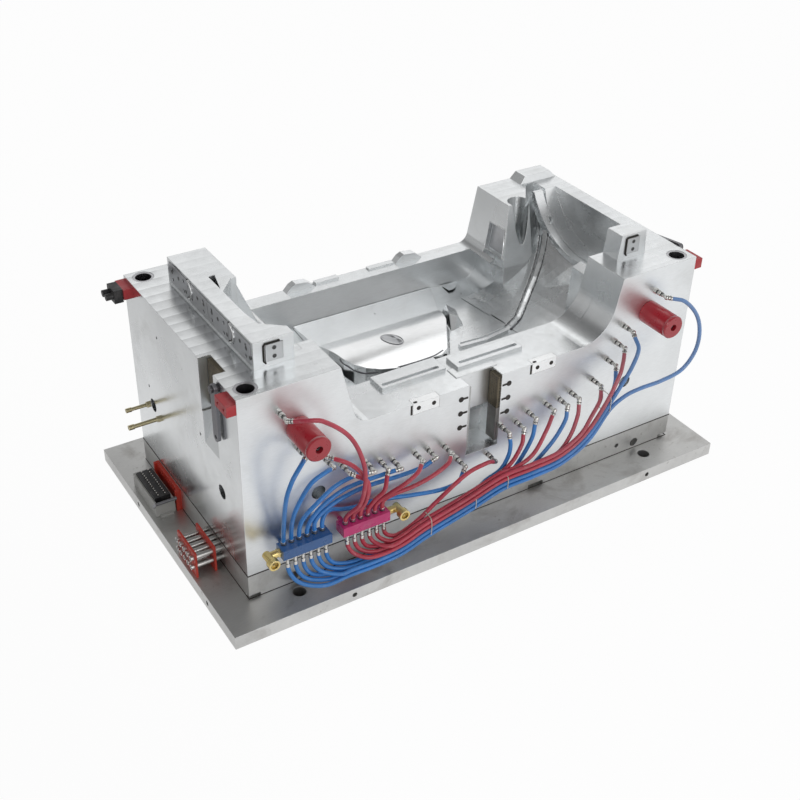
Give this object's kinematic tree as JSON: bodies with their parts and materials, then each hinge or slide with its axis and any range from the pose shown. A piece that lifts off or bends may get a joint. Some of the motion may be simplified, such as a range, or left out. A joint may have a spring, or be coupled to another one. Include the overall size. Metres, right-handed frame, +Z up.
{
  "type": "bumper mould",
  "caption": "Cavity half of an injection mould for a vehicle bumper, lying on its clamping plate with the sculpted cavity up, with water hoses, distributor bars and transport straps.",
  "frame": {"origin": "middle of the underside of the clamping plate", "axes": "+X along the bumper, from the ridge end to the arch end; +Y from the hose side to the back; +Z up, out of the cavity"},
  "size_m": [2.2, 1.24, 1],
  "materials": {
    "plate_steel": "ground, stained with use",
    "block_steel": "milled and ground",
    "insert_steel": "polished",
    "bush_steel": "hardened and ground",
    "wear_steel": "hardened, oiled",
    "post_red": "satin",
    "screw_steel": "blackened",
    "strap_steel": "dull",
    "black_plastic": "matte",
    "blue_anodised": "satin",
    "magenta_anodised": "satin",
    "brass_fitting": "machined",
    "nickel_fitting": "plated",
    "plug_grey": "cast, powder coated",
    "bracket_red": "satin",
    "tube_steel": "drawn",
    "runner_steel": "ground",
    "hose_blue": "smooth",
    "hose_red": "smooth"
  },
  "bodies": {
    "mould": {"base_plate": "plate_steel", "runner_plate": "plate_steel", "cavity_block": "block_steel", "dome_insert": "insert_steel", "slope_insert": "insert_steel", "lip_plates": "insert_steel", "guide_bushes": "bush_steel", "sprue_bush": "bush_steel", "ridge_wear_plates": "wear_steel", "end_wear_plates": "wear_steel", "pocket_wear_plates": "wear_steel", "post_left": "post_red", "post_right": "post_red", "corner_blocks": "post_red", "post_screws": "screw_steel", "strap_screws": "screw_steel", "locating_ring": "screw_steel", "rear_latch": "black_plastic", "plug_insert": "black_plastic", "blue_bar": "blue_anodised", "magenta_bar": "magenta_anodised", "brass_couplings": "brass_fitting", "side_nipples": "brass_fitting", "block_couplers": "nickel_fitting", "bar_nipples": "nickel_fitting", "plug_housing": "plug_grey", "plug_bracket": "bracket_red", "line_brackets": "bracket_red", "line_tubes": "tube_steel", "hot_runner": "runner_steel", "blue_hose_1": "hose_blue", "blue_hose_2": "hose_blue", "blue_hose_3": "hose_blue", "blue_hose_4": "hose_blue", "blue_hose_5": "hose_blue", "blue_hose_6": "hose_blue", "blue_hose_7": "hose_blue", "blue_hose_8": "hose_blue", "blue_hose_9": "hose_blue", "blue_hose_10": "hose_blue", "blue_hose_11": "hose_blue", "blue_hose_12": "hose_blue", "red_hose_1": "hose_red", "red_hose_2": "hose_red", "red_hose_3": "hose_red", "red_hose_4": "hose_red", "red_hose_5": "hose_red", "red_hose_6": "hose_red", "red_hose_7": "hose_red", "red_hose_8": "hose_red", "red_hose_9": "hose_red", "red_hose_10": "hose_red", "red_hose_11": "hose_red", "red_hose_12": "hose_red"},
    "hanging_strap": {"strap_left": "strap_steel"},
    "lying_strap": {"strap_right": "strap_steel"},
    "lever": {"plug_lever": "strap_steel"},
    "pin_left": {"valve_pin_left": "bush_steel"},
    "pin_middle": {"valve_pin_middle": "bush_steel"},
    "pin_right": {"valve_pin_right": "bush_steel"}
  },
  "joints": [
    {"name": "strap_left_hinge", "type": "hinge", "parent": "mould", "child": "hanging_strap", "pos_m": [-0.987, -0.332, 0.868], "axis": [1, 0, 0], "range_deg": [0, 180]},
    {"name": "strap_right_hinge", "type": "hinge", "parent": "mould", "child": "lying_strap", "pos_m": [0.987, -0.362, 0.888], "axis": [1, 0, 0], "range_deg": [-82, 98]},
    {"name": "plug_lever_hinge", "type": "hinge", "parent": "mould", "child": "lever", "pos_m": [-1.041, 0.124, 0.095], "axis": [1, 0, 0], "range_deg": [0, 70]},
    {"name": "valve_pin_left_slide", "type": "slide", "parent": "mould", "child": "pin_left", "axis": [0, 0, 1], "range_m": [0, 0.012]},
    {"name": "valve_pin_middle_slide", "type": "slide", "parent": "mould", "child": "pin_middle", "axis": [0, 0, 1], "range_m": [0, 0.012]},
    {"name": "valve_pin_right_slide", "type": "slide", "parent": "mould", "child": "pin_right", "axis": [0, 0, 1], "range_m": [0, 0.012]}
  ]
}
